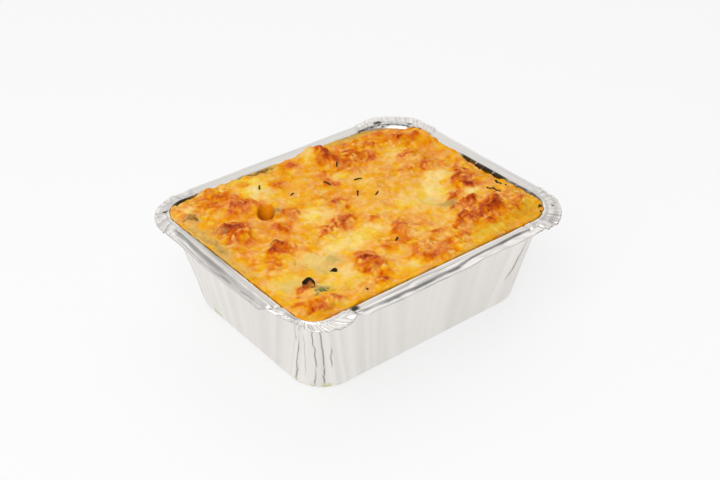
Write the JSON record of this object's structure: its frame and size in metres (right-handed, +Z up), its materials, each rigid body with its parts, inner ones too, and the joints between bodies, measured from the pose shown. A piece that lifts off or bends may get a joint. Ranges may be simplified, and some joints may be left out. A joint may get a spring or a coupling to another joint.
{
  "type": "foil tray meal",
  "caption": "Cheese-topped oven bake in a rectangular pressed-foil tray with a flat hemmed rim and crimped corners, standing on its flat base.",
  "frame": {"origin": "middle of the tray's flat underside", "axes": "+X along the long side, +Y along the short side, +Z up"},
  "size_m": [0.146, 0.121, 0.0494],
  "materials": {
    "foil": "bright pressed aluminium foil, satin on the walls, with crimped corners and faint flutes",
    "browned_cheese": "melted cheese with an oily sheen, pale yellow to golden, with orange and dark brown blisters",
    "scorched_mushroom": "roasted mushroom, brown with a blackened rim"
  },
  "bodies": {
    "root": {"foil_tray": "foil", "bake": "browned_cheese", "mushroom_slice": "scorched_mushroom"}
  },
  "joints": []
}
